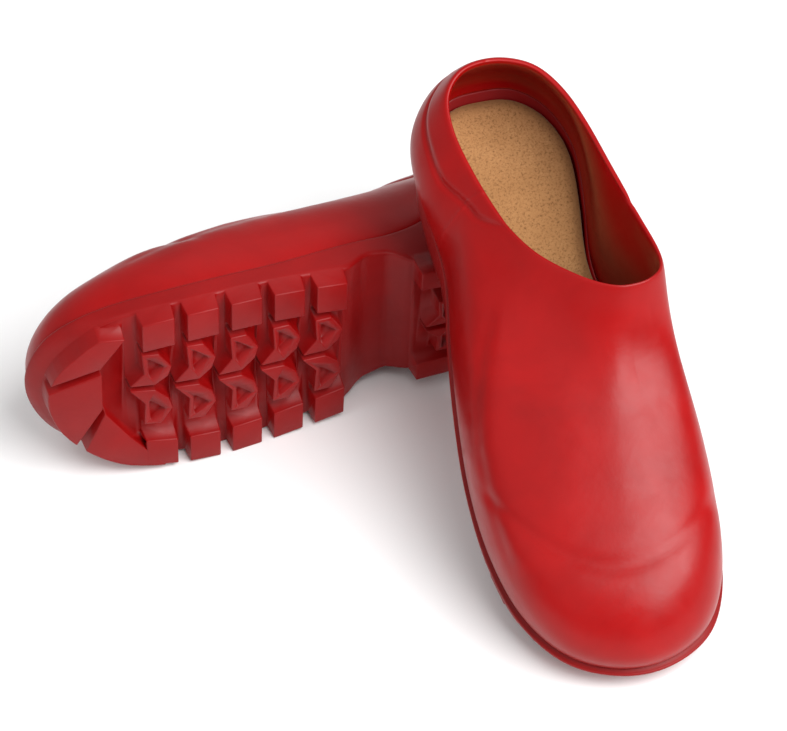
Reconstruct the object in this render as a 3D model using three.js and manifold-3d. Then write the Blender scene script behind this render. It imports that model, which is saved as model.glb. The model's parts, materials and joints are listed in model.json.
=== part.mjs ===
// A pair of moulded work clogs. Each clog is a deep-tread outsole, a one-piece closed upper that seats on
// the outsole's ledge, a cork footbed that lies in the tray, and a suede cover on the cork.
// Millimetres. One clog is built in its own frame: +X to the inner (big-toe) side, the toe towards -Y, +Z
// up, with the back of the heel at the origin. "along" is the distance from the back of the heel towards the toe.
import * as THREE from "three";
import { ParametricGeometry } from "three/addons/geometries/ParametricGeometry.js";
import { mergeGeometries, mergeVertices } from "three/addons/utils/BufferGeometryUtils.js";
import Module from "manifold-3d";

const wasm = await Module();
wasm.setup();

// ---- Driving dimensions -------------------------------------------------------------------------
const SOLE_LENGTH = 298; // back of the heel to the toe tip, at the ledge
const SOLE_WIDTH = 108; // across the ball, at the ledge
const WALL = 4; // the upper's wall at its foot
const RIM_WALL = 3; // the upper's wall at the collar
const SEAM_GAP = 0.3; // between pieces that touch
const COLLAR_HEIGHT = 94; // the rim at the heel, above the ground
const TREAD_DEPTH = 9; // lugs below the sole plate
const PLATE_BALL = 5; // sole plate thickness under the ball
const TRAY_HEEL = 36; // height of the tray under the heel
const LEDGE_HEEL = 48; // height of the ledge the upper sits on, at the heel
const LEDGE_BALL = 19.5; // and at the ball
const TOE_SPRING = 20; // how far the toe tip lifts off the ground
const ARCH = 8; // how far the waist lifts above the sole plate
const RABBET = 5; // height of the locating rib inside the upper
const COVER = 1.2; // suede
const CORK_BALL = 5.5; // cork under the ball
const CORK_HEEL = 8; // cork under the heel
const BED_CLEARANCE = 0.9; // round the footbed
const LUG_DRAFT = 1.2; // how far a lug's foot draws in on each side
const LUG_ROOT = 2; // how far a lug runs up into the sole plate
const TREAD_INSET = 0.8; // from the ledge's outline in to the outermost lugs
const SECTOR_DRAFT = 0.9; // the same for the lugs round the toe and the heel
const ARROW_DRAFT = 0.8; // and for the arrow lugs

const TIPPED_TURN = [5.6, 7.1, 9.1]; // degrees about X, Y and Z that turn the laid-down left clog
const TIPPED_PLACE = [-97, 65]; // its middle from the right clog's

const COLUMNS = 60; // round every ring

// ---- Outlines -----------------------------------------------------------------------------------
// The ledge outline as shares of sole width and length: from the back of the heel along the inner side to the
// toe tip, and back along the outer side.
const LEDGE = [
  [-0.037, 0], [0.130, 0.010], [0.268, 0.057], [0.347, 0.137], [0.343, 0.240], [0.343, 0.340],
  [0.429, 0.442], [0.493, 0.548], [0.541, 0.657], [0.553, 0.759], [0.527, 0.867], [0.416, 0.952],
  [0.218, 0.995], [-0.003, 0.997], [-0.223, 0.957], [-0.375, 0.876], [-0.451, 0.769], [-0.475, 0.651],
  [-0.459, 0.531], [-0.421, 0.410], [-0.375, 0.300], [-0.398, 0.187], [-0.380, 0.087], [-0.222, 0.013],
];
// The collar's rim, point for point above the ledge's: across, along, and height above or below the heel's.
const RIM = [
  [-4, 7, 0], [9, 9, -0.5], [21, 15.5, -1.5], [31, 30, -2.7], [38, 49, -3.5], [44, 73, -3.5], [50.5, 100, -0.5],
  [54.8, 120, 3.5], [53.5, 131, 7.5], [45.5, 137, 10.5], [36, 138.5, 12], [29, 137.5, 12.3], [22.5, 134.5, 11.8],
  [16, 130, 10.5], [9, 123.5, 8.3], [2, 116, 5.8], [-4, 108, 3.4], [-9.5, 98, 1], [-14.5, 86.5, -1.2],
  [-18.8, 72.5, -3], [-23, 56, -4], [-26, 38, -4], [-25, 21, -2.5], [-16.5, 10, -0.8],
];
// How much of each wall shape a column takes: 0 heel, 1 side, 2 ball, 3 toe.
const SHAPE = [
  0, 0, 0.15, 0.4, 0.8, 1.1, 1.4, 1.8, 2.2, 2.5, 2.8, 3, 3, 3, 2.8, 2.5, 2.2, 1.9, 1.6, 1.3, 1, 0.5, 0.2, 0,
];
// Each wall shape runs from the ledge to the rim: share of the way across to the rim, share of the rise, and
// millimetres of bulge outwards.
const WALLS = [
  [[0, 0, 0], [0.02, 0.12, 2.6], [0.06, 0.24, 3.8], [0.12, 0.36, 4.2], [0.2, 0.48, 3.6], [0.32, 0.6, 2.6],
    [0.48, 0.72, 1.4], [0.7, 0.86, 0.6], [1, 1, 0]],
  [[0, 0, 0], [0.02, 0.14, 1.8], [0.06, 0.28, 2.6], [0.13, 0.41, 2.6], [0.24, 0.53, 2.2], [0.38, 0.65, 1.5],
    [0.55, 0.77, 0.7], [0.77, 0.89, 0.2], [1, 1, 0]],
  [[0, 0, 0], [0.01, 0.16, 2.5], [0.05, 0.33, 3.5], [0.12, 0.47, 3.2], [0.22, 0.58, 2], [0.37, 0.66, 0.8],
    [0.56, 0.73, 0], [0.79, 0.82, 0], [1, 1, 0]],
  [[0, 0, 0], [0.01, 0.16, 1.8], [0.06, 0.31, 2], [0.145, 0.41, 1.6], [0.28, 0.48, 1], [0.45, 0.545, 0.4],
    [0.66, 0.62, 0], [0.85, 0.73, 0], [1, 1, 0]],
];

const clamp01 = (v) => Math.min(1, Math.max(0, v));
const lerp = THREE.MathUtils.lerp;

// A closed curve through rows of three numbers, one unit of the parameter a row.
const closedCurve = (rows) =>
  new THREE.CatmullRomCurve3(rows.map((r) => new THREE.Vector3(...r)), true, "catmullrom", 0.5);
const ledgeCurve = closedCurve(LEDGE.map(([w, l]) => [w * SOLE_WIDTH, l * SOLE_LENGTH, 0]));
const rimCurve = closedCurve(RIM);
const shapeCurve = closedCurve(SHAPE.map((s) => [s, 0, 0]));
const wallCurves = WALLS.map(
  (rows) => new THREE.CatmullRomCurve3(rows.map((r) => new THREE.Vector3(...r)), false, "catmullrom", 0.5),
);

// ---- Heights ------------------------------------------------------------------------------------
// A smooth step from 0 to 1 between two shares of the sole's length.
const step = (along, from, to) => THREE.MathUtils.smoothstep(along / SOLE_LENGTH, from, to);
const toeSpring = (along) => TOE_SPRING * clamp01((along / SOLE_LENGTH - 0.67) / 0.33) ** 2;
const archRise = (along) => ARCH * step(along, 0.345, 0.39) * (1 - step(along, 0.42, 0.472));
const plateUnder = (along) => TREAD_DEPTH + archRise(along) + toeSpring(along);
const trayTop = (along) =>
  lerp(TRAY_HEEL, TREAD_DEPTH + PLATE_BALL, step(along, 0.17, 0.55)) + toeSpring(along);
const ledgeHeight = (along) => {
  const fallen = 0.67 * step(along, 0.18, 0.4) + 0.33 * step(along, 0.35, 0.63);
  return lerp(LEDGE_HEEL, LEDGE_BALL, fallen) + 0.8 * toeSpring(along);
};
const ledgeWidth = (along) => 0.6 + 2.6 * step(along, 0.2, 0.35) - 0.9 * step(along, 0.5, 0.77);

// ---- Surfaces in (column, row) ------------------------------------------------------------------
// A point of the ledge outline drawn in by a distance, square to the outline.
function outlinePoint(u, inset) {
  const p = ledgeCurve.getPoint(u % 1);
  const d = ledgeCurve.getTangent(u % 1);
  return new THREE.Vector2(p.x - d.y * inset, p.y + d.x * inset);
}

// The upper's outer face: u round the clog from the back of the heel, v from the ledge to the rim.
function outerFace(u, v) {
  const foot = outlinePoint(u, 0);
  const seat = outlinePoint(u, ledgeWidth(foot.y));
  const outwards = outlinePoint(u, -1).sub(foot);
  const low = ledgeHeight(seat.y) + SEAM_GAP;
  const rim = rimCurve.getPoint(u % 1);
  const shape = THREE.MathUtils.clamp(shapeCurve.getPoint(u % 1).x, 0, 3);
  const first = Math.min(2, Math.floor(shape));
  const share = wallCurves[first].getPoint(v).lerp(wallCurves[first + 1].getPoint(v), shape - first);
  return new THREE.Vector3(
    lerp(seat.x, rim.x, share.x) + outwards.x * share.z,
    lerp(seat.y, rim.y, share.x) + outwards.y * share.z,
    lerp(low, COLLAR_HEIGHT + rim.z, share.y),
  );
}

// The same face drawn in by the wall.
function insideFace(u, v) {
  const nudge = 1e-3;
  const low = Math.max(0, v - nudge);
  const high = Math.min(1, v + nudge);
  const up = outerFace(u, high).sub(outerFace(u, low));
  const round = outerFace((u + nudge) % 1, v).sub(outerFace((u + 1 - nudge) % 1, v));
  const inwards = up.cross(round).normalize();
  return outerFace(u, v).addScaledVector(inwards, lerp(WALL, RIM_WALL, v));
}

// ---- Solids from patches ------------------------------------------------------------------------
// Turns "along" into the clog's own -Y.
const place = (p, target) => target.set(p.x, -p.y, p.z);

// A surface patch over u and v, each from 0 to 1.
const patch = (pointAt, columns, rows) =>
  new ParametricGeometry((u, v, target) => place(pointAt(u, v), target), columns, rows);

// The same patch with its faces looking the other way.
function turnedOver(geometry) {
  geometry.setIndex([...geometry.index.array].reverse());
  return geometry;
}

// Joins patches into one closed body whose faces point out.
function closed(...patches) {
  const bare = patches.map((g) => {
    const n = g.index ? g.toNonIndexed() : g.clone();
    n.deleteAttribute("normal");
    n.deleteAttribute("uv");
    return n;
  });
  const joined = mergeVertices(mergeGeometries(bare), 1e-3);
  const kept = [];
  const index = joined.index.array;
  for (let i = 0; i < index.length; i += 3) {
    const [a, b, c] = [index[i], index[i + 1], index[i + 2]];
    if (a !== b && b !== c && c !== a) kept.push(a, b, c);
  }
  joined.setIndex(kept);
  if (signedVolume(joined) < 0) joined.setIndex(kept.reverse());
  return joined;
}

function signedVolume(geometry) {
  const points = geometry.attributes.position;
  const at = (i) => new THREE.Vector3().fromBufferAttribute(points, geometry.index.getX(i));
  let sum = 0;
  for (let i = 0; i < geometry.index.count; i += 3) sum += at(i).dot(at(i + 1).cross(at(i + 2)));
  return sum / 6;
}

const solidOf = (geometry) =>
  new wasm.Manifold(
    new wasm.Mesh({
      numProp: 3,
      vertProperties: new Float32Array(geometry.attributes.position.array),
      triVerts: new Uint32Array(geometry.index.array),
    }),
  );

function geometryOf(solid) {
  const mesh = solid.getMesh();
  const geometry = new THREE.BufferGeometry();
  geometry.setAttribute("position", new THREE.BufferAttribute(new Float32Array(mesh.vertProperties), 3));
  geometry.setIndex(new THREE.BufferAttribute(new Uint32Array(mesh.triVerts), 1));
  geometry.computeVertexNormals();
  return geometry;
}

// A body bounded by rings of (inset, height) round the outline, and closed below and above by sheets that
// span the first and the last ring from side to side.
function ringBody(rings, underside, topside, acrossSteps) {
  const ringPoint = (ring, u) => {
    const edge = outlinePoint(u, 0);
    const p = outlinePoint(u, ring.inset(edge.y));
    return new THREE.Vector3(p.x, p.y, ring.height(p.x, p.y));
  };
  const steps = rings.length - 1;
  const wall = patch((u, v) => ringPoint(rings[Math.round(v * steps)], u), COLUMNS, steps);
  const sheet = (ring, heightAt) =>
    patch(
      (u, v) => {
        const inner = ringPoint(ring, u / 2);
        const outer = ringPoint(ring, 1 - u / 2);
        const p = inner.clone().lerp(outer, v);
        if (v > 0 && v < 1 && u > 0 && u < 1) p.z = heightAt(p.x, p.y);
        return p;
      },
      COLUMNS / 2,
      acrossSteps,
    );
  return closed(wall, turnedOver(sheet(rings[0], underside)), sheet(rings[rings.length - 1], topside));
}

// ---- Upper --------------------------------------------------------------------------------------
const UPPER_ROWS = 10;

// The closed path round the upper's wall at one column: up the outside, over the rim, down the inside, and
// round the rebate that takes the outsole's rib.
function upperPath(u) {
  const path = [];
  for (let k = 0; k <= UPPER_ROWS; k++) path.push(outerFace(u, k / UPPER_ROWS));
  const crown = outerFace(u, 1).lerp(insideFace(u, 1), 0.5);
  crown.z += RIM_WALL * 0.3;
  path.push(crown);
  const foot = outerFace(u, 0);
  const rebateTop = foot.z + RABBET + SEAM_GAP;
  const inner = [];
  for (let k = 1; k <= UPPER_ROWS; k++) inner.push(insideFace(u, k / UPPER_ROWS));
  for (let k = 1; k < inner.length; k++) inner[k].z = Math.max(inner[k].z, rebateTop + 0.5 * k);
  for (let k = inner.length - 1; k > 0; k--) path.push(inner[k]);
  const edge = outlinePoint(u, 0);
  const reach = ledgeWidth(edge.y);
  const flush = outlinePoint(u, reach + WALL);
  const half = outlinePoint(u, reach + WALL / 2);
  path.push(new THREE.Vector3(flush.x, flush.y, rebateTop));
  path.push(new THREE.Vector3(half.x, half.y, rebateTop));
  path.push(new THREE.Vector3(half.x, half.y, foot.z));
  return path;
}

function upper() {
  const paths = [];
  for (let c = 0; c < COLUMNS; c++) paths.push(upperPath(c / COLUMNS));
  const steps = paths[0].length;
  return closed(
    patch((u, v) => paths[Math.round(u * COLUMNS) % COLUMNS][Math.round(v * steps) % steps], COLUMNS, steps),
  );
}

// ---- Outsole ------------------------------------------------------------------------------------
const toeTuck = (along) => 6 * step(along, 0.85, 0.97);
const ribInset = (along) => ledgeWidth(along) + WALL / 2 + SEAM_GAP;
const trayInset = (along) => ledgeWidth(along) + WALL;

function solePlate() {
  const ledgeAt = (x, along) => ledgeHeight(along);
  const ribTop = (x, along) => ledgeHeight(along) + RABBET;
  return ringBody(
    [
      { inset: (along) => 2.2 + toeTuck(along), height: (x, along) => plateUnder(along) },
      { inset: (along) => 0.8 + toeTuck(along), height: (x, along) => plateUnder(along) + 1.2 },
      {
        inset: (along) => 0.4 + 0.3 * toeTuck(along),
        height: (x, along) => lerp(plateUnder(along) + 1.2, ledgeHeight(along), 0.5),
      },
      { inset: () => 0, height: (x, along) => ledgeHeight(along) - 1 },
      { inset: () => 0.3, height: ledgeAt },
      { inset: ribInset, height: ledgeAt },
      { inset: ribInset, height: ribTop },
      { inset: trayInset, height: ribTop },
      { inset: (along) => trayInset(along) + 0.3, height: (x, along) => trayTop(along) },
    ],
    (x, along) => plateUnder(along),
    (x, along) => trayTop(along),
    4,
  );
}

// A lug with the plan given as [across, along] corners. Its foot is drawn in and follows the toe spring.
function lug(corners, draft = LUG_DRAFT) {
  const shape = new THREE.Shape(corners.map(([x, along]) => new THREE.Vector2(x, along)));
  const body = new THREE.ExtrudeGeometry(shape, { depth: 1, bevelEnabled: false, steps: 1 });
  const middle = corners.reduce((m, [x, along]) => m.add(new THREE.Vector2(x, along)), new THREE.Vector2());
  middle.divideScalar(corners.length);
  const p = body.attributes.position;
  for (let i = 0; i < p.count; i++) {
    const spot = new THREE.Vector2(p.getX(i), p.getY(i));
    const foot = p.getZ(i) < 0.5;
    if (foot) {
      const reach = spot.distanceTo(middle);
      spot.lerp(middle, Math.min(0.4, draft / reach));
    }
    p.setXYZ(i, spot.x, -spot.y, foot ? toeSpring(spot.y) : plateUnder(spot.y) + LUG_ROOT);
  }
  return solidOf(closed(body));
}

// The ledge outline's reach to one side at a distance along, found by stepping round that side.
function halfWidth(along, side) {
  let best = 0;
  for (let k = 1; k < 200; k++) {
    const p = ledgeCurve.getPoint(side > 0 ? k / 400 : 1 - k / 400);
    const q = ledgeCurve.getPoint(side > 0 ? (k + 1) / 400 : 1 - (k + 1) / 400);
    if ((p.y - along) * (q.y - along) <= 0) best = lerp(p.x, q.x, (along - p.y) / (q.y - p.y || 1));
  }
  return Math.abs(best);
}

const LUG_PITCH = 21.9;
const LUG_COUNT = 5; // along each side of the forefoot
const FOREFOOT_START = 141;
const FOREFOOT_END = FOREFOOT_START + LUG_COUNT * LUG_PITCH;
const SIDE_LUG = 17.2; // length of a side lug
const SIDE_LUG_WIDTH = 20;
const ARROW_GAP = 2.5; // between a side lug and the arrow lug beside it
const HEEL_LUG_WIDTH = 13;
const HEEL_LUGS = [[27, 49], [53, 76], [80, 104]]; // where each starts and ends, along
const HEEL_ARROWS = [29, 53, 78]; // where each arrow's tip starts
const HEEL_BAR = [[-17, 25], [17, 25]]; // the front edge of the lug round the back of the heel

// An arrow lug beside the centreline, as [along from its tip, out from the centreline].
const ARROW = [[0, 16], [6.5, 27], [15.5, 27], [15, 11], [22, 1.2], [9, 1.2], [2, 8]];
const ARROW_REACH = 27;
const HEEL_ARROW_SCALE = 0.68;

// The three lugs of the toe plate: from and to round the outline, and the inner corners past its start.
const TOE_SECTORS = [
  [0.386, 0.448, [[16, 14], [34, 2]]],
  [0.456, 0.54, [[-12, 14], [13, 14]]],
  [0.548, 0.617, [[-36, 2], [-15, 14]]],
];
const SECTOR_STEPS = 8;

const treadEdge = (along, side) => side * (halfWidth(along, side) - TREAD_INSET);

// A lug at the edge of the sole, on one side, between two distances along.
function sideLug(start, end, side, width) {
  const outer = (along) => treadEdge(along, side);
  const inner = (along) => outer(along) - side * width;
  return lug([[inner(start), start], [outer(start), start], [outer(end), end], [inner(end), end]]);
}

const arrowLug = (start, side, stretch) =>
  lug(ARROW.map(([along, out]) => [side * out * stretch, start + along]), ARROW_DRAFT);

// A lug that follows the outline from one place to another, closed by its inner corners.
function sectorLug(from, to, inner) {
  const corners = [...inner];
  for (let k = 0; k <= SECTOR_STEPS; k++) {
    const u = (1 + lerp(from, to, k / SECTOR_STEPS)) % 1;
    const p = outlinePoint(u, TREAD_INSET + toeTuck(outlinePoint(u, 0).y));
    corners.push([p.x, p.y]);
  }
  return lug(corners, SECTOR_DRAFT);
}

function forefootTread() {
  const lugs = [];
  for (let k = 0; k < LUG_COUNT; k++) {
    const start = FOREFOOT_START + k * LUG_PITCH;
    for (const side of [1, -1]) {
      lugs.push(sideLug(start, start + SIDE_LUG, side, SIDE_LUG_WIDTH));
      const room = halfWidth(start + SIDE_LUG / 2, side) - TREAD_INSET - SIDE_LUG_WIDTH - ARROW_GAP;
      lugs.push(arrowLug(start + 2, side, Math.min(1, room / ARROW_REACH)));
    }
  }
  return lugs;
}

const toePlate = () =>
  TOE_SECTORS.map(([from, to, inner]) => {
    const corners = inner.map(([x, past]) => [x, FOREFOOT_END + past]);
    return sectorLug(from, to, corners);
  });

function heelTread() {
  const lugs = [sectorLug(0.085, -0.085, HEEL_BAR)];
  for (const side of [1, -1]) {
    for (const [start, end] of HEEL_LUGS) lugs.push(sideLug(start, end, side, HEEL_LUG_WIDTH));
    for (const start of HEEL_ARROWS) lugs.push(arrowLug(start, side, HEEL_ARROW_SCALE));
  }
  return lugs;
}

function outsole() {
  let body = solidOf(solePlate());
  for (const piece of [...forefootTread(), ...toePlate(), ...heelTread()]) body = body.add(piece);
  return geometryOf(body);
}

// ---- Footbed ------------------------------------------------------------------------------------
const bedInset = (along) => trayInset(along) + 0.3 + BED_CLEARANCE;
const corkUnder = (x, along) => trayTop(along) + SEAM_GAP;
function corkTop(x, along) {
  const thick = lerp(CORK_HEEL, CORK_BALL, step(along, 0.2, 0.57));
  const cup = 6 * (1 - step(along, 0.2, 0.4)) * clamp01(Math.abs(x) / 34) ** 2.5;
  const arch = 6 * step(along, 0.23, 0.37) * (1 - step(along, 0.4, 0.55)) * clamp01(x / 34) ** 2;
  return corkUnder(x, along) + thick + cup + arch;
}
const coverUnder = (x, along) => corkTop(x, along) + SEAM_GAP;
const coverTop = (x, along) => coverUnder(x, along) + COVER;

const bedLayer = (under, top) =>
  ringBody([{ inset: bedInset, height: under }, { inset: bedInset, height: top }], under, top, 8);

// ---- Materials ----------------------------------------------------------------------------------
const redUpper = new THREE.MeshStandardMaterial({ color: 0xb01015, roughness: 0.42, metalness: 0 });
const redSole = new THREE.MeshStandardMaterial({ color: 0x9c0d11, roughness: 0.5, metalness: 0 });
const cork = new THREE.MeshStandardMaterial({ color: 0x9a6b3f, roughness: 0.9, metalness: 0 });
const suede = new THREE.MeshStandardMaterial({ color: 0xb98a55, roughness: 0.95, metalness: 0 });

// ---- Assembly -----------------------------------------------------------------------------------
const PIECES = [
  ["outsole", outsole(), redSole],
  ["upper", upper(), redUpper],
  ["footbed_cork", bedLayer(corkUnder, corkTop), cork],
  ["footbed_cover", bedLayer(coverUnder, coverTop), suede],
];

// One clog, with the middle of its sole over the origin. The left clog is the right one mirrored.
function clog(side) {
  const group = new THREE.Group();
  group.scale.x = side === "left" ? -1 : 1;
  for (const [name, geometry, material] of PIECES) {
    const mesh = new THREE.Mesh(geometry, material);
    mesh.name = `${side}_${name}`;
    mesh.position.y = SOLE_LENGTH / 2;
    group.add(mesh);
  }
  return group;
}

// Lowers a group until its lowest point is on the ground.
function setDown(group) {
  group.position.z -= new THREE.Box3().setFromObject(group, true).min.z;
}

// The left clog lies on its inner side with its toe to -X and its sole to the front.
const tipped = clog("left");
const laid = new THREE.Matrix4().makeBasis(
  new THREE.Vector3(0, 0, 1),
  new THREE.Vector3(1, 0, 0),
  new THREE.Vector3(0, 1, 0),
);
const left = new THREE.Group();
const laidDown = new THREE.Group();
laidDown.quaternion.setFromRotationMatrix(laid);
laidDown.add(tipped);
left.add(laidDown);
left.rotation.set(...TIPPED_TURN.map(THREE.MathUtils.degToRad));
left.position.set(TIPPED_PLACE[0], TIPPED_PLACE[1], 0);
setDown(left);

// The right clog stands on its toe, with its heel propped on the left clog.
const right = clog("right");

function wholeSolid(group) {
  group.updateMatrixWorld(true);
  let whole = null;
  group.traverse((part) => {
    if (!part.isMesh || part.name.includes("footbed")) return;
    const solid = solidOf(part.geometry).transform(part.matrixWorld.elements);
    whole = whole ? whole.add(solid) : solid;
  });
  return whole;
}

function propHeel() {
  const support = wholeSolid(left);
  let clear = THREE.MathUtils.degToRad(40);
  let meets = 0;
  for (let k = 0; k < 14; k++) {
    const pitch = (clear + meets) / 2;
    right.rotation.x = pitch;
    right.position.z = 0;
    setDown(right);
    if (wholeSolid(right).minGap(support, 1) > SEAM_GAP) clear = pitch;
    else meets = pitch;
  }
  right.rotation.x = clear;
  right.position.z = 0;
  setDown(right);
}
propHeel();

// The pair, with the middle of its floor area at the origin.
const pair = new THREE.Group();
pair.add(right, left);
const middle = new THREE.Box3().setFromObject(pair, true).getCenter(new THREE.Vector3());
pair.position.set(-middle.x, -middle.y, 0);
export default pair;
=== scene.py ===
"""A pair of moulded work clogs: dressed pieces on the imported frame.

Every length is in metres. A clog is shaped in its own frame (X to the inner side, Y from the back of the heel
towards the toe, Z up from the ground) and then set in the row's frame, where the right clog stands propped on
the left one, which lies on its side.
"""

import json
import logging
import math
from dataclasses import dataclass, field
from enum import Enum
from typing import Callable

import bmesh
import bpy
import numpy as np
from mathutils import Matrix, Vector

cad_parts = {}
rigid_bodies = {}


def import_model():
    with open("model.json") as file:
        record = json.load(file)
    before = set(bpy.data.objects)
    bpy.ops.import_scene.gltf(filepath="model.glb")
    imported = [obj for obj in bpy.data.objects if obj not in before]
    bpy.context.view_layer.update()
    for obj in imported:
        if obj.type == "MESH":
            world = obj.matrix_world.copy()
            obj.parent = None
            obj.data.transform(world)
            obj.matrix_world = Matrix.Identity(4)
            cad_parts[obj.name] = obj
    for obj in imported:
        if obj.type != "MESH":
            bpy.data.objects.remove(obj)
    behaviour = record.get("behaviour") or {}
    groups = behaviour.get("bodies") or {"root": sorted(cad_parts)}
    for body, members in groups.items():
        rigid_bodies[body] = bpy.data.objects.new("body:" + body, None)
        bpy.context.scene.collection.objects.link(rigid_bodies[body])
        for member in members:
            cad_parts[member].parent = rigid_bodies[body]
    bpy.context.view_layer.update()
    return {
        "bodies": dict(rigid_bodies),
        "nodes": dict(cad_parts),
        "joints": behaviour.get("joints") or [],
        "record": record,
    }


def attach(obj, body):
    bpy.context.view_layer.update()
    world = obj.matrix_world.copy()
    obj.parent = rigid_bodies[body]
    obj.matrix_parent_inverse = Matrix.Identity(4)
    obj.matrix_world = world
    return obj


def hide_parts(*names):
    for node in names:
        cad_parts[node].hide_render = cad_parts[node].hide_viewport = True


log = logging.getLogger("clogs")

MM = 0.001
LUG_ROOT = 2 * MM  # how far a lug runs up into the plate
Shape = Callable[[np.ndarray], np.ndarray]
Socket = bpy.types.NodeSocket
Colour = tuple[float, float, float, float]


class Side(Enum):
    """Which foot a clog is for."""

    RIGHT = "right"
    LEFT = "left"


class Finish(Enum):
    """The named finishes of the pair, by the record's material slots."""

    UPPER = "red_upper"
    SOLE = "red_sole"
    CORK = "cork"
    SUEDE = "suede"


# ---- Small maths ---------------------------------------------------------------------------------
def smooth(value: np.ndarray | float, low: float, high: float) -> np.ndarray | float:
    """Rises from 0 to 1 between two values, with level ends.

    Args:
        value: One number or an array.
        low: Where the rise starts.
        high: Where it ends.

    Returns:
        The smoothed share, of the same shape as value.
    """
    share = np.clip((value - low) / (high - low), 0.0, 1.0)
    return share * share * (3.0 - 2.0 * share)


def lump(value: np.ndarray, centre: float | np.ndarray, width: float | np.ndarray) -> np.ndarray:
    """A soft hump of height 1, as wide as its standard spread.

    Args:
        value: Where it is read.
        centre: The middle of the hump.
        width: Its spread to one side.

    Returns:
        The hump's height at each value.
    """
    return np.exp(-(((value - centre) / width) ** 2))


def closed_spline(rows: np.ndarray, at: np.ndarray) -> np.ndarray:
    """Reads a closed Catmull-Rom curve through rows of numbers.

    Args:
        rows: The points that the curve runs through, one a row.
        at: Places along it, from 0 to 1 once round.

    Returns:
        One row for each place.
    """
    count = len(rows)
    place = (np.asarray(at, float) % 1.0) * count
    first = np.floor(place).astype(int)
    t = (place - first)[:, None]
    p0, p1, p2, p3 = (rows[(first + k) % count] for k in (-1, 0, 1, 2))
    bend = 2 * p0 - 5 * p1 + 4 * p2 - p3
    swing = 3 * p1 - p0 - 3 * p2 + p3
    return 0.5 * (2 * p1 + (p2 - p0) * t + bend * t**2 + swing * t**3)


# ---- The clog's own frame ------------------------------------------------------------------------
@dataclass
class ClogFrame:
    """Where one clog lies: its own axes and origin in the row's frame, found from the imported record."""

    side: Side
    heel_mount: float = 14 * MM
    hinge_across: float = 4 * MM
    hinge_along: float = 292 * MM
    hinge_height: float = 26.5 * MM
    matrix: Matrix = field(default_factory=lambda: Matrix.Identity(4))

    def find(self, record: dict) -> "ClogFrame":
        """Reads the clog's heel mount and footbed hinge and works the frame out from them.

        Args:
            record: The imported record.

        Returns:
            This frame, with its matrix set.
        """
        mount = next(m for m in record["mounts"] if m["name"] == f"{self.side.value}_heel_tread")
        joints = record["behaviour"]["joints"]
        hinge = next(j for j in joints if j["name"] == f"{self.side.value}_footbed_tip")
        up = -Vector(mount["axis"]).normalized()
        inner = Vector(hinge["axis"]).normalized()
        if self.side is Side.LEFT:
            inner = -inner
        heel = Vector(mount["pos_m"])
        reach = Vector(hinge["pos_m"]) - heel - inner * self.hinge_across - up * self.hinge_height
        toe = reach.normalized()
        origin = heel - toe * self.heel_mount
        self.matrix = Matrix((inner, toe, up)).transposed().to_4x4()
        self.matrix.translation = origin
        return self

    def into_row(self, points: np.ndarray) -> np.ndarray:
        """Moves points from the clog's frame into the row's."""
        turn = np.array(self.matrix.to_3x3())
        return points @ turn.T + np.array(self.matrix.translation)

    def into_clog(self, points: np.ndarray) -> np.ndarray:
        """Moves points from the row's frame into the clog's."""
        turn = np.array(self.matrix.to_3x3())
        return (points - np.array(self.matrix.translation)) @ turn


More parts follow.
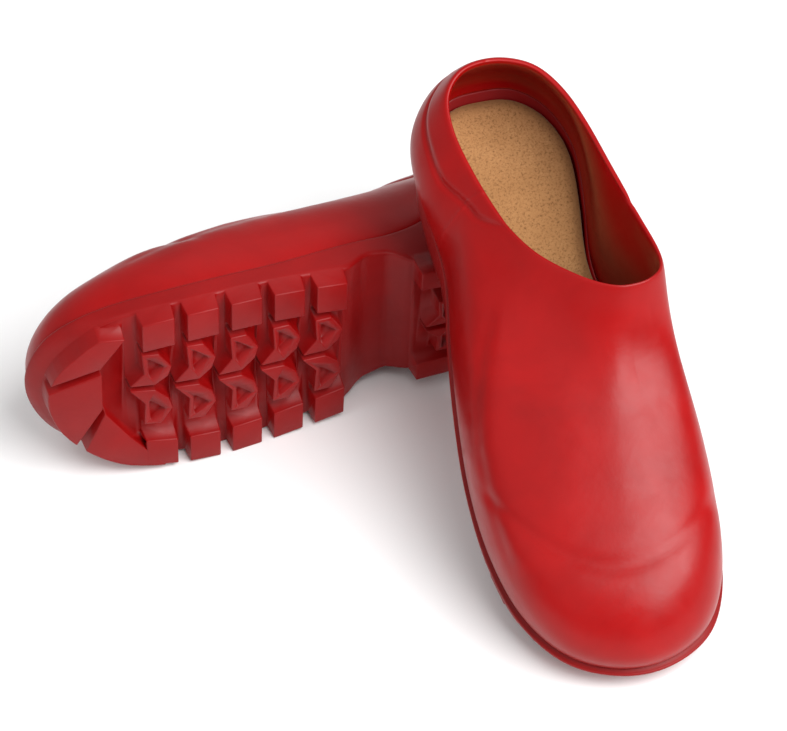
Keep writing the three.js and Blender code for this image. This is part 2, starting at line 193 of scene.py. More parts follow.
# ---- Heights and outline shared by the sole's parts ----------------------------------------------
@dataclass(frozen=True)
class SoleForm:
    """The sole's outline and heights, in the clog's frame."""

    length: float = 298 * MM
    width: float = 108 * MM
    tread_depth: float = 9 * MM
    plate_ball: float = 5 * MM
    tray_heel: float = 36 * MM
    ledge_heel: float = 48 * MM
    ledge_ball: float = 19.5 * MM
    toe_spring: float = 20 * MM
    arch: float = 8 * MM
    rib: float = 5 * MM
    wall: float = 4 * MM
    gap: float = 0.3 * MM
    outline: tuple[tuple[float, float], ...] = (
        (-0.037, 0), (0.13, 0.01), (0.268, 0.057), (0.347, 0.137), (0.343, 0.24), (0.343, 0.34),
        (0.429, 0.442), (0.493, 0.548), (0.541, 0.657), (0.553, 0.759), (0.527, 0.867), (0.416, 0.952),
        (0.218, 0.995), (-0.003, 0.997), (-0.223, 0.957), (-0.375, 0.876), (-0.451, 0.769), (-0.475, 0.651),
        (-0.459, 0.531), (-0.421, 0.41), (-0.375, 0.3), (-0.398, 0.187), (-0.38, 0.087), (-0.222, 0.013),
    )

    def spring(self, along: np.ndarray) -> np.ndarray:
        """How far the tread has lifted off the ground towards the toe."""
        return self.toe_spring * np.clip((along / self.length - 0.67) / 0.33, 0, 1) ** 2

    def arch_rise(self, along: np.ndarray) -> np.ndarray:
        """How far the waist stands above the plate."""
        share = along / self.length
        return self.arch * smooth(share, 0.345, 0.39) * (1 - smooth(share, 0.42, 0.472))

    def plate_under(self, along: np.ndarray) -> np.ndarray:
        """Height of the plate that the lugs stand on."""
        return self.tread_depth + self.arch_rise(along) + self.spring(along)

    def tray_top(self, along: np.ndarray) -> np.ndarray:
        """Height of the tray that holds the footbed."""
        fall = smooth(along / self.length, 0.17, 0.55)
        level = self.tray_heel + (self.tread_depth + self.plate_ball - self.tray_heel) * fall
        return level + self.spring(along)

    def ledge(self, along: np.ndarray) -> np.ndarray:
        """Height of the ledge that the upper seats on."""
        share = along / self.length
        fallen = 0.67 * smooth(share, 0.18, 0.4) + 0.33 * smooth(share, 0.35, 0.63)
        return self.ledge_heel + (self.ledge_ball - self.ledge_heel) * fallen + 0.8 * self.spring(along)

    def ledge_width(self, along: np.ndarray) -> np.ndarray:
        """How far the ledge shows outside the upper."""
        share = along / self.length
        return (0.6 + 2.6 * smooth(share, 0.2, 0.35) - 0.9 * smooth(share, 0.5, 0.77)) * MM

    def toe_tuck(self, along: np.ndarray) -> np.ndarray:
        """How far the plate's edge draws in under the toe."""
        return 6 * MM * smooth(along / self.length, 0.85, 0.97)

    def edge(self, at: np.ndarray, inset: np.ndarray | float = 0.0) -> np.ndarray:
        """Points of the ledge's outline, drawn in square to it.

        Args:
            at: Places round the outline, from 0 to 1.
            inset: How far in, one number or one for each place.

        Returns:
            Rows of (across, along).
        """
        rows = np.array(self.outline) * np.array([self.width, self.length])
        here = closed_spline(rows, at)
        run = closed_spline(rows, at + 1e-4) - closed_spline(rows, at - 1e-4)
        run /= np.linalg.norm(run, axis=1)[:, None]
        inwards = np.stack([-run[:, 1], run[:, 0]], axis=1)
        return here + inwards * np.broadcast_to(inset, at.shape)[:, None]

    def half_width(self, along: float, side: int) -> float:
        """The outline's reach to one side of the centreline at a distance along."""
        at = np.linspace(0.0, 0.5, 400) if side > 0 else np.linspace(1.0, 0.5, 400)
        points = self.edge(at)
        return float(abs(np.interp(along, points[:, 1], points[:, 0])))


# ---- Mesh tools ----------------------------------------------------------------------------------
def ring(mesh: bmesh.types.BMesh, points: np.ndarray) -> list[bmesh.types.BMEdge]:
    """Adds a closed loop of edges through points.

    Args:
        mesh: The mesh that takes the loop.
        points: Rows of (x, y, z).

    Returns:
        The loop's edges.
    """
    made = bmesh.ops.create_circle(mesh, segments=len(points), radius=1.0)["verts"]
    for vert, point in zip(made, points):
        vert.co = point
    return list({edge for vert in made for edge in vert.link_edges})


def cap(mesh: bmesh.types.BMesh, loop: list[bmesh.types.BMEdge], slices: np.ndarray) -> None:
    """Closes a loop with a sheet and cuts it across, so that it can follow a change of height.

    Args:
        mesh: The mesh that holds the loop.
        loop: The loop's edges.
        slices: Places along the clog where the sheet is cut.
    """
    faces = bmesh.ops.contextual_create(mesh, geom=loop)["faces"]
    for along in slices:
        verts = list({v for f in faces for v in f.verts})
        edges = list({e for f in faces for e in f.edges})
        cut = bmesh.ops.bisect_plane(
            mesh, geom=verts + edges + faces, dist=1e-7, plane_co=(0, along, 0), plane_no=(0, 1, 0)
        )["geom"]
        faces = [item for item in cut if isinstance(item, bmesh.types.BMFace)]


def place(mesh: bmesh.types.BMesh, frame: ClogFrame) -> None:
    """Sets a mesh that was shaped in the clog's frame in the row's frame, with its faces pointing out."""
    bmesh.ops.transform(mesh, matrix=frame.matrix, verts=mesh.verts)
    bmesh.ops.recalc_face_normals(mesh, faces=mesh.faces)


def as_object(mesh: bmesh.types.BMesh, name: str, shade_smooth: bool = True) -> bpy.types.Object:
    """Turns a bmesh into an object at the origin.

    Args:
        mesh: The finished bmesh, which is freed.
        name: The object's name.
        shade_smooth: Whether its faces are shaded smooth.

    Returns:
        The new object, linked to the scene.
    """
    data = bpy.data.meshes.new(name)
    for face in mesh.faces:
        face.smooth = shade_smooth
    mesh.to_mesh(data)
    mesh.free()
    made = bpy.data.objects.new(name, data)
    bpy.context.scene.collection.objects.link(made)
    return made


def settle(piece: bpy.types.Object) -> bpy.types.Object:
    """Applies a piece's modifiers to its mesh."""
    graph = bpy.context.evaluated_depsgraph_get()
    graph.update()
    data = bpy.data.meshes.new_from_object(piece.evaluated_get(graph))
    piece.modifiers.clear()
    piece.data = data
    return piece


def rounded_copy(node: bpy.types.Object, name: str, levels: int) -> bpy.types.Object:
    """Copies a node's mesh, joins its triangles into quads and rounds it off by subdivision.

    Args:
        node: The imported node.
        name: The new piece's name.
        levels: How often it is subdivided.

    Returns:
        The new piece, with the subdivision applied.
    """
    mesh = bmesh.new()
    mesh.from_mesh(node.data)
    bmesh.ops.remove_doubles(mesh, verts=mesh.verts, dist=2e-6)
    bmesh.ops.join_triangles(
        mesh,
        faces=mesh.faces,
        angle_face_threshold=math.pi,
        angle_shape_threshold=math.pi,
        cmp_materials=False,
        cmp_seam=False,
        cmp_sharp=False,
        cmp_uvs=False,
        cmp_vcols=False,
    )
    piece = as_object(mesh, name)
    piece.data.materials.clear()
    rounding = piece.modifiers.new("rounding", "SUBSURF")
    rounding.levels = levels
    rounding.render_levels = levels
    return settle(piece)


def read_points(piece: bpy.types.Object) -> np.ndarray:
    """The piece's vertices, one a row."""
    flat = np.empty(len(piece.data.vertices) * 3)
    piece.data.vertices.foreach_get("co", flat)
    return flat.reshape(-1, 3)


def read_normals(piece: bpy.types.Object) -> np.ndarray:
    """The piece's vertex normals, one a row."""
    flat = np.empty(len(piece.data.vertices) * 3)
    piece.data.vertices.foreach_get("normal", flat)
    return flat.reshape(-1, 3)


def write_points(piece: bpy.types.Object, points: np.ndarray) -> None:
    """Moves the piece's vertices."""
    piece.data.vertices.foreach_set("co", points.astype(np.float32).ravel())
    piece.data.update()


def write_mask(piece: bpy.types.Object, name: str, values: np.ndarray) -> None:
    """Stores one number for each vertex, for a material to read."""
    layer = piece.data.attributes.new(name, "FLOAT", "POINT")
    layer.data.foreach_set("value", values.astype(np.float32))


# ---- Finishes ------------------------------------------------------------------------------------
@dataclass
class Nodes:
    """A shorthand for laying out one material's nodes."""

    material: bpy.types.Material

    @classmethod
    def new(cls, name: str) -> "Nodes":
        """Starts a material with only its surface shader and output."""
        material = bpy.data.materials.new(name)
        material.use_nodes = True
        return cls(material)

    @property
    def shader(self) -> bpy.types.Node:
        """The surface shader."""
        return next(n for n in self.material.node_tree.nodes if n.type == "BSDF_PRINCIPLED")

    def add(self, kind: str) -> bpy.types.Node:
        """Adds a node by its type name, without its prefix."""
        return self.material.node_tree.nodes.new("ShaderNode" + kind)

    def join(self, output: Socket, target: Socket) -> None:
        """Joins an output to an input."""
        self.material.node_tree.links.new(output, target)

    def place_on(self) -> Socket:
        """The piece's own object coordinates, in metres."""
        return self.add("TexCoord").outputs["Object"]

    def cloud(self, scale: float, detail: float = 3.0, rough: float = 0.55, swirl: float = 0.0) -> Socket:
        """A soft noise in the piece's own coordinates, from 0 to 1.

        Args:
            scale: Features to the metre, about.
            detail: How many finer layers it has.
            rough: How strong the finer layers are.
            swirl: How far it is distorted.

        Returns:
            The noise's output.
        """
        node = self.add("TexNoise")
        node.inputs["Scale"].default_value = scale
        node.inputs["Detail"].default_value = detail
        node.inputs["Roughness"].default_value = rough
        node.inputs["Distortion"].default_value = swirl
        self.join(self.place_on(), node.inputs["Vector"])
        return node.outputs["Fac"]

    def ramp(self, value: Socket, stops: list[tuple[float, Colour]]) -> Socket:
        """Colours a value by a ramp.

        Args:
            value: What is coloured, from 0 to 1.
            stops: The ramp's (place, colour) stops, in order.

        Returns:
            The colour's output.
        """
        node = self.add("ValToRGB")
        elements = node.color_ramp.elements
        while len(elements) > 1:
            elements.remove(elements[-1])
        elements[0].position = stops[0][0]
        elements[0].color = stops[0][1]
        for position, colour in stops[1:]:
            elements.new(position).color = colour
        self.join(value, node.inputs["Fac"])
        return node.outputs["Color"]

    def spread(self, value: Socket, low: float, high: float, to_low: float, to_high: float) -> Socket:
        """Maps a value from one range to another, clamped.

        Args:
            value: What is mapped.
            low: The start of its own range.
            high: The end of its own range.
            to_low: What low becomes.
            to_high: What high becomes.

        Returns:
            The mapped value's output.
        """
        node = self.add("MapRange")
        for name, number in (("From Min", low), ("From Max", high), ("To Min", to_low), ("To Max", to_high)):
            node.inputs[name].default_value = number
        self.join(value, node.inputs["Value"])
        return node.outputs["Result"]

    def blend(self, share: Socket, one: Socket | Colour, other: Socket | Colour) -> Socket:
        """Mixes two colours, each a socket or a plain colour.

        Args:
            share: How much of the second colour there is.
            one: The first colour.
            other: The second colour.

        Returns:
            The mixed colour's output.
        """
        node = self.add("Mix")
        node.data_type = "RGBA"
        self.join(share, node.inputs[0])
        for socket, colour in ((node.inputs[6], one), (node.inputs[7], other)):
            if isinstance(colour, bpy.types.NodeSocket):
                self.join(colour, socket)
            else:
                socket.default_value = colour
        return node.outputs[2]

    def relief(self, height: Socket, strength: float, depth: float, below: Socket | None = None) -> Socket:
        """Adds a bump, over another where one is given.

        Args:
            height: What stands up.
            strength: How much of the bump is used.
            depth: How high it is, in metres.
            below: The bump that it lies over.

        Returns:
            The bumped normal's output.
        """
        node = self.add("Bump")
        node.inputs["Strength"].default_value = strength
        node.inputs["Distance"].default_value = depth
        self.join(height, node.inputs["Height"])
        if below is not None:
            self.join(below, node.inputs["Normal"])
        return node.outputs["Normal"]

    def mask(self, name: str) -> Socket:
        """A number stored on the piece's vertices."""
        node = self.add("Attribute")
        node.attribute_name = name
        return node.outputs["Fac"]


def rgba(red: float, green: float, blue: float) -> Colour:
    """A colour from display values, as the renderer takes it.

    Args:
        red: From 0 to 255.
        green: From 0 to 255.
        blue: From 0 to 255.

    Returns:
        The linear colour, opaque.
    """
    linear = []
    for value in (red, green, blue):
        share = value / 255
        linear.append(share / 12.92 if share <= 0.04045 else ((share + 0.055) / 1.055) ** 2.4)
    return (*linear, 1.0)


@dataclass(frozen=True)
class MouldedRed:
    """Self-coloured polyurethane from the mould: even colour, a satin skin and a fine grain."""

    name: str
    body: tuple[float, float, float]
    deep: tuple[float, float, float]
    gloss: float
    grain: float

    def material(self) -> bpy.types.Material:
        """Builds the finish.

        Returns:
            The material.
        """
        n = Nodes.new(self.name)
        shader = n.shader
        patches = n.spread(n.cloud(22.0, 4.0, 0.6, 0.4), 0.35, 0.7, 0.0, 1.0)
        colour = n.blend(patches, rgba(*self.body), rgba(*self.deep))
        specks = n.spread(n.cloud(1300.0, 2.0), 0.62, 0.74, 0.0, 0.25)
        colour = n.blend(specks, colour, rgba(*(c * 0.8 for c in self.deep)))
        flash = n.mask("flash")
        colour = n.blend(n.spread(flash, 0.3, 1.0, 0.0, 0.35), colour, rgba(*self.body))
        n.join(colour, shader.inputs["Base Color"])
        sheen = n.spread(n.cloud(60.0, 5.0, 0.65, 0.8), 0.3, 0.7, self.gloss - 0.05, self.gloss + 0.07)
        n.join(sheen, shader.inputs["Roughness"])
        shader.inputs["Specular IOR Level"].default_value = 0.26
        shader.inputs["IOR"].default_value = 1.48
        flow = n.relief(n.cloud(38.0, 3.0), 0.25, 0.0009)
        line = n.relief(flash, 0.5, 0.0004, flow)
        peel = n.relief(n.cloud(420.0, 2.0), self.grain, 0.00012, line)
        fine = n.relief(n.cloud(2100.0, 2.0), self.grain * 0.8, 0.00005, peel)
        n.join(fine, shader.inputs["Normal"])
        return n.material


@dataclass(frozen=True)
class SuedeCover:
    """Undyed suede: a tan nap with brown flecks, darker towards its edge."""

    name: str = "suede_nap"

    def material(self) -> bpy.types.Material:
        """Builds the finish.

        Returns:
            The material.
        """
        n = Nodes.new(self.name)
        shader = n.shader
        broad = n.spread(n.cloud(26.0, 4.0, 0.6, 0.5), 0.3, 0.72, 0.0, 1.0)
        colour = n.blend(broad, rgba(188, 140, 92), rgba(160, 114, 70))
        nap = n.spread(n.cloud(700.0, 6.0, 0.75, 0.6), 0.34, 0.68, 0.0, 1.0)
        colour = n.blend(nap, colour, rgba(160, 114, 70))
        flecks = n.spread(n.cloud(900.0, 4.0, 0.75), 0.5, 0.66, 0.0, 0.85)
        colour = n.blend(flecks, colour, rgba(112, 74, 42))
        # darker within a few millimetres of the cover's edge, by its distance from the outline
        edge_darkening = n.spread(n.mask("edge"), 0.0, 1.0, 0.0, 0.75)
        colour = n.blend(edge_darkening, colour, rgba(110, 72, 42))
        n.join(colour, shader.inputs["Base Color"])
        shader.inputs["Roughness"].default_value = 0.92
        shader.inputs["Specular IOR Level"].default_value = 0.2
        shader.inputs["Sheen Weight"].default_value = 0.25
        shader.inputs["Sheen Roughness"].default_value = 0.5
        lie = n.relief(n.cloud(55.0, 3.0), 0.35, 0.0008)
        fibre = n.relief(n.cloud(1500.0, 5.0, 0.75), 0.8, 0.0002, lie)
        n.join(fibre, shader.inputs["Normal"])
        return n.material


@dataclass(frozen=True)
class PressedCork:
    """Pressed cork: granules of a few sizes in a dark binder."""

    name: str = "pressed_cork"

    def material(self) -> bpy.types.Material:
        """Builds the finish.

        Returns:
            The material.
        """
        n = Nodes.new(self.name)
        shader = n.shader
        granules = n.add("TexVoronoi")
        granules.inputs["Scale"].default_value = 480.0
        n.join(n.place_on(), granules.inputs["Vector"])
        tone = n.add("SeparateColor")
        n.join(granules.outputs["Color"], tone.inputs["Color"])
        colour = n.ramp(
            tone.outputs["Red"],
            [(0.0, rgba(120, 80, 48)), (0.4, rgba(168, 122, 76)), (1.0, rgba(198, 154, 104))],
        )
        binder = n.spread(granules.outputs["Distance"], 0.45, 0.75, 0.0, 0.7)
        colour = n.blend(binder, colour, rgba(74, 46, 28))
        n.join(colour, shader.inputs["Base Color"])
        shader.inputs["Roughness"].default_value = 0.88
        shader.inputs["Specular IOR Level"].default_value = 0.25
        pits = n.relief(granules.outputs["Distance"], 0.5, 0.0005)
        crumb = n.relief(n.cloud(900.0, 4.0), 0.4, 0.0002, pits)
        n.join(crumb, shader.inputs["Normal"])
        return n.material


@dataclass(frozen=True)
class PaleFloor:
    """A smooth pale studio floor."""

    name: str = "pale_floor"

    def material(self) -> bpy.types.Material:
        """Builds the finish.

        Returns:
            The material.
        """
        n = Nodes.new(self.name)
        shade = n.spread(n.cloud(3.0, 2.0), 0.3, 0.7, 0.0, 1.0)
        n.join(n.blend(shade, rgba(246, 246, 246), rgba(243, 243, 243)), n.shader.inputs["Base Color"])
        n.shader.inputs["Roughness"].default_value = 0.85
        n.shader.inputs["Specular IOR Level"].default_value = 0.2
        return n.material


# ---- The clog's pieces ---------------------------------------------------------------------------
@dataclass
class Upper:
    """The closed one-piece upper, with the soft folds and lines of its mould."""

    frame: ClogFrame
    levels: int = 3
    spine_across: float = 2 * MM
    spine_height: float = 42 * MM
    collar_drop: float = 16.5 * MM
    crease_depth: float = 0.55 * MM
    fold_depth: float = 0.65 * MM
    crease: tuple[tuple[float, float], ...] = (
        (0.118, 0.081), (0.142, 0.072), (0.166, 0.065), (0.197, 0.0596), (0.229, 0.055), (0.25, 0.051),
    )
    flash_line: tuple[tuple[float, float], ...] = (
        (0.0798, 0.054), (0.0771, 0.0699), (0.0748, 0.0772), (0.0729, 0.0825), (0.0727, 0.095),
    )

    def outwardness(self, points: np.ndarray, normals: np.ndarray) -> np.ndarray:
        """How surely each point lies on the outside, from 0 to 1."""
        spine = np.stack(
            [
                np.full(len(points), self.spine_across),
                np.clip(points[:, 1], 0.045, 0.25),
                np.full(len(points), self.spine_height),
            ],
            axis=1,
        )
        away = points - spine
        away /= np.linalg.norm(away, axis=1)[:, None]
        return smooth((away * normals).sum(axis=1), 0.0, 0.35)

    def collar_line(self, along: np.ndarray) -> np.ndarray:
        """Height of the groove under the collar band, which runs out at the instep."""
        heel = 0.094 - self.collar_drop - 0.0005
        return heel + 0.0065 * smooth(along, 0.055, 0.082) + 0.012 * smooth(along, 0.078, 0.1)

    def relief(self, points: np.ndarray) -> np.ndarray:
        """How far the outside stands out or draws in at each point.

        Args:
            points: Points in the clog's frame.

        Returns:
            The distance outwards for each.
        """
        across, along, height = points.T
        drop = height - self.collar_line(along)
        heel = 1 - smooth(along, 0.08, 0.1)
        groove = -1.0 * MM * lump(drop, 0.0, 1.3 * MM)
        band = 0.5 * MM * smooth(drop, 0.5 * MM, 4 * MM)
        counter = 0.5 * MM * lump(drop, -14 * MM, 10 * MM)
        collar = heel * (groove + band + counter)
        rows = np.array(self.crease)
        line = np.interp(along, rows[:, 0], rows[:, 1])
        outer_side = smooth(-across, 0.018, 0.026)
        run = smooth(along, 0.112, 0.14) * (1 - smooth(along, 0.225, 0.255))
        over = height - line
        lateral = outer_side * run * self.crease_depth * (
            0.8 * lump(over, 4 * MM, 5 * MM) - lump(over, -1.5 * MM, 3 * MM)
        )
        arc = 0.2565 - np.where(across > 0.01, 11.5, 16.0) * (across - 0.01) ** 2
        ahead = along - arc
        on_top = smooth(height, 0.046, 0.058)
        fold = on_top * (
            self.fold_depth * (lump(ahead, 13 * MM, 11 * MM) - 1.25 * lump(ahead, -1 * MM, 4.5 * MM))
        )
        return collar + lateral + fold

    def flash(self, points: np.ndarray) -> np.ndarray:
        """Where the mould's thin parting lines show, from 0 to 1."""
        across, along, height = points.T
        rows = np.array(self.flash_line)
        line = np.interp(height, rows[:, 1], rows[:, 0])
        side = lump(along, line, 0.9 * MM) * (across < -0.01) * smooth(height, 0.05, 0.056)
        back = lump(across, -3 * MM, 0.9 * MM) * (along < 0.03)
        return np.maximum(side, back)

    def build(self, node: bpy.types.Object) -> bpy.types.Object:
        """Shapes the upper.

        Args:
            node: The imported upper.

        Returns:
            The finished piece.
        """
        piece = rounded_copy(node, f"{self.frame.side.value}_moulded_upper", self.levels)
        points = read_points(piece)
        turn = np.array(self.frame.matrix.to_3x3())
        own = self.frame.into_clog(points)
        normals = read_normals(piece)
        outside = self.outwardness(own, normals @ turn)
        shift = self.relief(own) * outside
        write_points(piece, points + normals * shift[:, None])
        write_mask(piece, "flash", self.flash(own) * outside)
        return piece


@dataclass(frozen=True)
class Lug:
    """One block of the tread: its plan as (across, along) corners, and how its foot is finished."""

    corners: tuple[tuple[float, float], ...]
    draft: float = 1.2 * MM
    pocket: tuple[tuple[float, float], ...] = ()

    def build(self, mesh: bmesh.types.BMesh, form: SoleForm) -> None:
        """Adds the block to a mesh.

        Args:
            mesh: The mesh of the clog's lugs.
            form: The sole's heights.
        """
        plan = np.array(self.corners)
        top = form.plate_under(plan[:, 1]) + LUG_ROOT
        verts = [mesh.verts.new((x, y, z)) for (x, y), z in zip(plan, top)]
        face = mesh.faces.new(verts)
        made = bmesh.ops.extrude_face_region(mesh, geom=[face], use_keep_orig=True)["geom"]
        foot = [item for item in made if isinstance(item, bmesh.types.BMVert)]
        middle = plan.mean(axis=0)
        for vert in foot:
            spot = np.array(vert.co[:2])
            reach = float(np.linalg.norm(spot - middle))
            spot += (middle - spot) * min(0.4, self.draft / reach)
            vert.co = (spot[0], spot[1], float(form.spring(spot[1])))
        sole_face = next(f for f in foot[0].link_faces if all(v in foot for v in f.verts))
        around = {edge for edge in sole_face.edges}
        upright = {edge for vert in foot for edge in vert.link_edges} - around
        bmesh.ops.bevel(
            mesh,
            geom=list(around | upright),
            offset=0.7 * MM,
            offset_type="OFFSET",
            affect="EDGES",
            segments=2,
            profile=0.5,
            clamp_overlap=True,
            material=-1,
        )


@dataclass
class Outsole:
    """The deep-tread outsole: the plate with its ledge and rib, and the lugs under it."""

    frame: ClogFrame
    form: SoleForm
    steps: int = 240
    pitch: float = 21.9 * MM
    count: int = 5
    forefoot: float = 141 * MM
    side_lug: float = 17.2 * MM
    side_width: float = 20 * MM
    edge_gap: float = 0.8 * MM
    arrow_gap: float = 2.5 * MM
    arrow_reach: float = 27 * MM
    arrow_start: float = 2 * MM
    arrow_draft: float = 0.8 * MM
    rim_draft: float = 0.9 * MM
    toe_sectors: tuple[tuple[float, float, tuple[tuple[float, float], ...]], ...] = (
        (0.386, 0.448, ((16, 14), (34, 2))),
        (0.456, 0.54, ((-12, 14), (13, 14))),
        (0.548, 0.617, ((-36, 2), (-15, 14))),
    )
    heel_blocks: tuple[tuple[float, float], ...] = ((27, 49), (53, 76), (80, 104))
    heel_width: float = 13 * MM
    heel_arrows: tuple[float, ...] = (29, 53, 78)
    heel_arrow_scale: float = 0.68
    heel_bar: tuple[tuple[float, float], ...] = ((-17, 25), (17, 25))
    heel_share: float = 0.085
    arrow: tuple[tuple[float, float], ...] = (
        (0, 16), (6.5, 27), (15.5, 27), (15, 11), (22, 1.2), (9, 1.2), (2, 8),
    )
    arrow_pocket: tuple[tuple[float, float], ...] = ((4.0, 16.0), (12.3, 23.8), (12.3, 8.4))

    def plate(self) -> bmesh.types.BMesh:
        """The plate, its side wall, the ledge, the rib that locates the upper, and the tray.

        Returns:
            The plate in the clog's frame.
        """
        form = self.form
        at = np.arange(self.steps) / self.steps
        along = form.edge(at)[:, 1]
        tuck = form.toe_tuck(along)
        rib_in = form.ledge_width(along) + form.wall / 2 + form.gap
        tray_in = form.ledge_width(along) + form.wall
        under, seat = form.plate_under, form.ledge
        levels: list[tuple[np.ndarray, Shape]] = [
            (2.4 * MM + tuck, under),
            (1.4 * MM + tuck, lambda y: under(y) + 0.35 * MM),
            (0.8 * MM + tuck, lambda y: under(y) + 1.2 * MM),
            (0.55 * MM + 0.62 * tuck, lambda y: under(y) + 0.25 * (seat(y) - under(y))),
            (0.4 * MM + 0.3 * tuck, lambda y: 0.5 * (under(y) + seat(y))),
            (0.05 * MM + 0 * tuck, lambda y: seat(y) - 1.8 * MM),
            (0.0 * tuck, lambda y: seat(y) - 0.9 * MM),
            (0.35 * MM + 0 * tuck, lambda y: seat(y) - 0.25 * MM),
            (0.9 * MM + 0 * tuck, seat),
            (rib_in, seat),
            (rib_in, lambda y: seat(y) + form.rib),
            (tray_in, lambda y: seat(y) + form.rib),
            (tray_in + form.gap, form.tray_top),
        ]
        mesh = bmesh.new()
        loops = []
        for inset, height in levels:
            flat = form.edge(at, inset)
            loops.append(ring(mesh, np.column_stack([flat, height(flat[:, 1])])))
        for low, high in zip(loops, loops[1:]):
            bmesh.ops.bridge_loops(mesh, edges=low + high)
        slices = np.linspace(0.004, form.length - 0.004, 90)
        cap(mesh, loops[0], slices)
        cap(mesh, loops[-1], slices)
        return mesh

    def side_lugs(self, start: float, end: float, side: int, width: float) -> Lug:
        """A block along the edge, between two places along the sole."""
        form = self.form

        def edge(along: float) -> float:
            return side * (form.half_width(along, side) - self.edge_gap)

        return Lug(
            (
                (edge(start) - side * width, start),
                (edge(start), start),
                (edge(end), end),
                (edge(end) - side * width, end),
            )
        )

    def arrow_lug(self, start: float, side: int, stretch: float) -> Lug:
        """An arrow block beside the centreline, with its sunk pocket."""
        plan = tuple((side * out * stretch * MM, start + run * MM) for run, out in self.arrow)
        pocket = tuple((side * out * stretch * MM, start + run * MM) for run, out in self.arrow_pocket)
        return Lug(plan, self.arrow_draft, pocket)

    def forefoot_lugs(self) -> list[Lug]:
        """The five rows under the ball: two side blocks and two arrows in each."""
        lugs = []
        for row in range(self.count):
            start = self.forefoot + row * self.pitch
            for side in (1, -1):
                lugs.append(self.side_lugs(start, start + self.side_lug, side, self.side_width))
                reach = self.form.half_width(start + self.side_lug / 2, side)
                room = reach - self.edge_gap - self.side_width - self.arrow_gap
                stretch = min(1.0, room / self.arrow_reach)
                lugs.append(self.arrow_lug(start + self.arrow_start, side, stretch))
        return lugs

    def toe_plates(self) -> list[Lug]:
        """The smooth toe plate, parted by two thin radial grooves."""
        start = self.forefoot + self.count * self.pitch
        lugs = []
        for first, last, inner in self.toe_sectors:
            at = np.linspace(first, last, 9)
            along = self.form.edge(at)[:, 1]
            rim = self.form.edge(at, self.edge_gap + self.form.toe_tuck(along))
            corners = [(x * MM, start + y * MM) for x, y in inner] + [tuple(p) for p in rim]
            lugs.append(Lug(tuple(corners), self.rim_draft))
        return lugs

    def heel_lugs(self) -> list[Lug]:
        """The heel block: three side blocks and three arrows a side, and a crescent at the back."""
        lugs = []
        for side in (1, -1):
            for start, end in self.heel_blocks:
                lugs.append(self.side_lugs(start * MM, end * MM, side, self.heel_width))
            for start in self.heel_arrows:
                lugs.append(self.arrow_lug(start * MM, side, self.heel_arrow_scale))
        at = (1 + np.linspace(self.heel_share, -self.heel_share, 13)) % 1
        rim = self.form.edge(at, self.edge_gap)
        bar = [(across * MM, along * MM) for across, along in self.heel_bar]
        lugs.append(Lug((*bar, *(tuple(point) for point in rim)), self.rim_draft))
        return lugs

    def pockets(self, lugs: list[Lug]) -> bmesh.types.BMesh:
        """The cutters that sink a pocket in each arrow block."""
        mesh = bmesh.new()
        for lug in lugs:
            if not lug.pocket:
                continue
            low = [mesh.verts.new((x, y, float(self.form.spring(y)) - 2 * MM)) for x, y in lug.pocket]
            face = mesh.faces.new(low)
            made = bmesh.ops.extrude_face_region(mesh, geom=[face], use_keep_orig=True)["geom"]
            roof = [item for item in made if isinstance(item, bmesh.types.BMVert)]
            bmesh.ops.translate(mesh, verts=roof, vec=(0, 0, 5 * MM))
            upright = {e for v in roof for e in v.link_edges if not all(w in roof for w in e.verts)}
            bmesh.ops.bevel(
                mesh,
                geom=list(upright),
                offset=1.4 * MM,
                offset_type="OFFSET",
                affect="EDGES",
                segments=3,
                profile=0.5,
                clamp_overlap=True,
                material=-1,
            )
        return mesh

    def build(self) -> bpy.types.Object:
        """Shapes the outsole.

        Returns:
            The finished piece.
        """
        side = self.frame.side.value
        lugs = self.forefoot_lugs() + self.toe_plates() + self.heel_lugs()
        blocks = bmesh.new()
        for lug in lugs:
            lug.build(blocks, self.form)
        cutters = self.pockets(lugs)
        plate = self.plate()
        parts = []
        for mesh, name in ((plate, "sole"), (blocks, "blocks"), (cutters, "cutters")):
            bmesh.ops.remove_doubles(mesh, verts=mesh.verts, dist=1e-7)
            place(mesh, self.frame)
            parts.append(as_object(mesh, f"{side}_{name}"))
        sole, block, cutter = parts
        for operation, other in (("UNION", block), ("DIFFERENCE", cutter)):
            step = sole.modifiers.new(operation.lower(), "BOOLEAN")
            step.operation = operation
            step.solver = "MANIFOLD"
            step.object = other
            settle(sole)
        for other in (block, cutter):
            bpy.data.objects.remove(other)
        sole.name = f"{side}_tread_sole"
        sole.data.name = sole.name
        return sole


@dataclass
class Footbed:
    """The lift-out footbed: a suede cover on pressed cork."""

    frame: ClogFrame
    form: SoleForm
    heel_seat: tuple[float, float] = (0.0, 45 * MM)
    edge_reach: float = 7 * MM

    def cover(self, node: bpy.types.Object) -> bpy.types.Object:
        """Shapes the suede cover.

        Args:
            node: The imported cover.

        Returns:
            The finished piece.
        """
        piece = rounded_copy(node, f"{self.frame.side.value}_suede_cover", 2)
        own = self.frame.into_clog(read_points(piece))
        outline = self.form.edge(np.linspace(0, 1, 240, endpoint=False), self.inset())
        gaps = np.linalg.norm(own[:, None, :2] - outline[None, :, :], axis=2).min(axis=1)
        write_mask(piece, "edge", 1 - smooth(gaps, 0.0, self.edge_reach))
        return piece

    def inset(self) -> np.ndarray:
        """How far the footbed's edge lies inside the ledge's outline, all the way round."""
        along = self.form.edge(np.linspace(0, 1, 240, endpoint=False))[:, 1]
        return self.form.ledge_width(along) + self.form.wall + 1.2 * MM

    def cork(self, node: bpy.types.Object) -> bpy.types.Object:
        """Shapes the cork layer."""
        return rounded_copy(node, f"{self.frame.side.value}_cork_bed", 1)


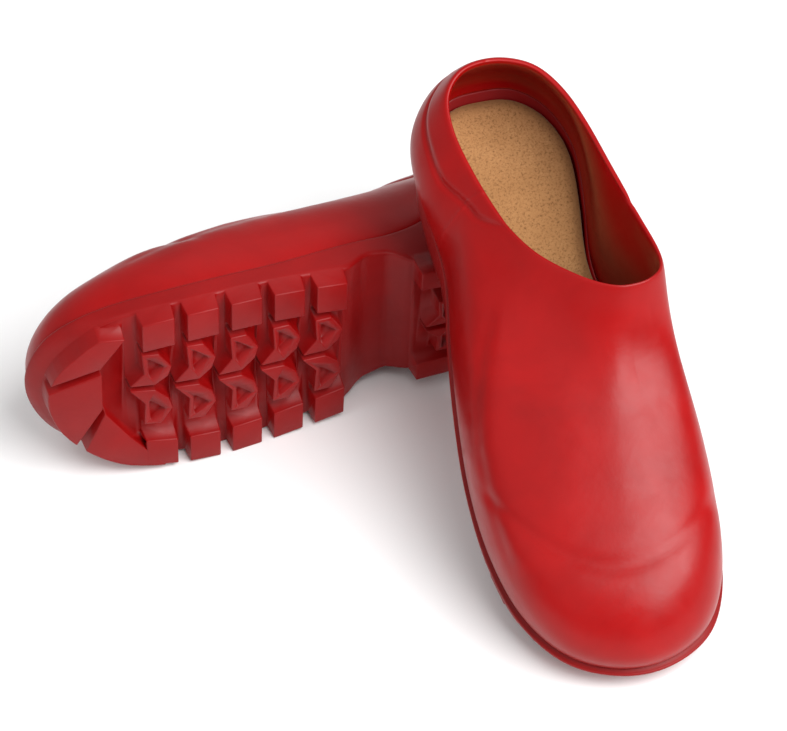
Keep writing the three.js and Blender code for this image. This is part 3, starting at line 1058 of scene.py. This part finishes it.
@dataclass
class Finishes:
    """The four finishes, made once for both clogs."""

    upper: bpy.types.Material
    sole: bpy.types.Material
    suede: bpy.types.Material
    cork: bpy.types.Material

    @classmethod
    def make(cls) -> "Finishes":
        """Builds every finish."""
        return cls(
            upper=MouldedRed("satin_red", (150, 1, 2), (134, 0, 1), 0.34, 0.30).material(),
            sole=MouldedRed("tread_red", (136, 1, 2), (122, 0, 1), 0.44, 0.45).material(),
            suede=SuedeCover().material(),
            cork=PressedCork().material(),
        )


@dataclass
class Clog:
    """One clog: its frame, its outsole, its upper and its footbed."""

    side: Side
    record: dict
    nodes: dict
    finishes: Finishes

    def dress(
        self, piece: bpy.types.Object, node: str, body: str, look: bpy.types.Material
    ) -> None:
        """Gives a piece its finish and hands it the node's place on its body.

        Args:
            piece: The finished piece.
            node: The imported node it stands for, without the side.
            body: The body it rides on.
            look: Its material.
        """
        piece.data.materials.clear()
        piece.data.materials.append(look)
        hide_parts(f"{self.side.value}_{node}")
        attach(piece, body)
        log.info("%s: %d faces", piece.name, len(piece.data.polygons))

    def build(self) -> None:
        """Builds and dresses the clog's four pieces."""
        side = self.side.value
        frame = ClogFrame(self.side).find(self.record)
        form = SoleForm()
        shell, bed = f"{side}_clog", f"{side}_footbed"
        sole = Outsole(frame, form).build()
        self.dress(sole, "outsole", shell, self.finishes.sole)
        upper = Upper(frame).build(self.nodes[f"{side}_upper"])
        self.dress(upper, "upper", shell, self.finishes.upper)
        footbed = Footbed(frame, form)
        cork = footbed.cork(self.nodes[f"{side}_footbed_cork"])
        self.dress(cork, "footbed_cork", bed, self.finishes.cork)
        cover = footbed.cover(self.nodes[f"{side}_footbed_cover"])
        self.dress(cover, "footbed_cover", bed, self.finishes.suede)


# ---- The studio ----------------------------------------------------------------------------------
@dataclass
class SoftBox:
    """A rectangular soft light that faces the pair."""

    name: str
    azimuth: float
    elevation: float
    distance: float
    size: float
    power: float

    def place(self, target: Vector) -> None:
        """Sets the light up, looking at a point."""
        turn, rise = math.radians(self.azimuth), math.radians(self.elevation)
        away = Vector(
            (math.sin(turn) * math.cos(rise), -math.cos(turn) * math.cos(rise), math.sin(rise))
        )
        data = bpy.data.lights.new(self.name, "AREA")
        data.shape = "SQUARE"
        data.size = self.size
        data.energy = self.power
        lamp = bpy.data.objects.new(self.name, data)
        lamp.location = target + away * self.distance
        lamp.rotation_mode = "QUATERNION"
        lamp.rotation_quaternion = (-away).to_track_quat("-Z", "Y")
        bpy.context.scene.collection.objects.link(lamp)


@dataclass
class Camera:
    """The view of the pair: from above and in front, turned a little to one side."""

    azimuth: float = math.radians(-4.49)
    elevation: float = math.radians(42.31)
    distance: float = 1.443
    focal_share: float = 3.679
    aside: float = 0.0236
    above: float = 0.0602
    roll: float = 0.1417

    def place(self) -> None:
        """Makes the camera and gives it to the scene."""
        turn, rise = self.azimuth, self.elevation
        back = Vector(
            (math.sin(turn) * math.cos(rise), -math.cos(turn) * math.cos(rise), math.sin(rise))
        )
        right = Vector((math.cos(turn), math.sin(turn), 0.0))
        up = back.cross(right)
        level, lean = math.cos(self.roll), math.sin(self.roll)
        data = bpy.data.cameras.new("camera")
        data.sensor_fit = "HORIZONTAL"
        data.sensor_width = 36.0
        data.lens = 36.0 * self.focal_share
        data.clip_start = 0.1
        data.clip_end = 50.0
        camera = bpy.data.objects.new("camera", data)
        turned = Matrix((right * level - up * lean, right * lean + up * level, back)).transposed()
        camera.matrix_world = turned.to_4x4()
        camera.location = back * self.distance + right * self.aside + up * self.above
        bpy.context.scene.collection.objects.link(camera)
        bpy.context.scene.camera = camera


@dataclass
class Studio:
    """The floor, the lights and the camera."""

    floor_size: float = 14.0

    def build(self) -> None:
        """Sets the studio up round the pair."""
        mesh = bmesh.new()
        bmesh.ops.create_grid(mesh, x_segments=4, y_segments=4, size=self.floor_size / 2)
        floor = as_object(mesh, "floor", False)
        floor.data.materials.append(PaleFloor().material())
        target = Vector((0.0, 0.0, 0.06))
        for box in (
            SoftBox("key", 38.0, 46.0, 2.2, 1.5, 70.0),
            SoftBox("fill", -50.0, 45.0, 2.6, 2.4, 10.0),
            SoftBox("back", 160.0, 55.0, 2.6, 1.6, 4.0),
        ):
            box.place(target)
        world = bpy.data.worlds.new("studio")
        world.use_nodes = True
        sky = world.node_tree.nodes["Background"]
        sky.inputs["Color"].default_value = (1.0, 1.0, 1.0, 1.0)
        sky.inputs["Strength"].default_value = 0.5
        bpy.context.scene.world = world
        bpy.context.scene.view_settings.view_transform = "Standard"
        Camera().place()


def main() -> None:
    """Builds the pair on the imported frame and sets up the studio."""
    logging.basicConfig(level=logging.INFO, format="%(name)s %(message)s")
    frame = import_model()
    finishes = Finishes.make()
    for side in Side:
        Clog(side, frame["record"], frame["nodes"], finishes).build()
    Studio().build()


if __name__ == "__main__":
    main()
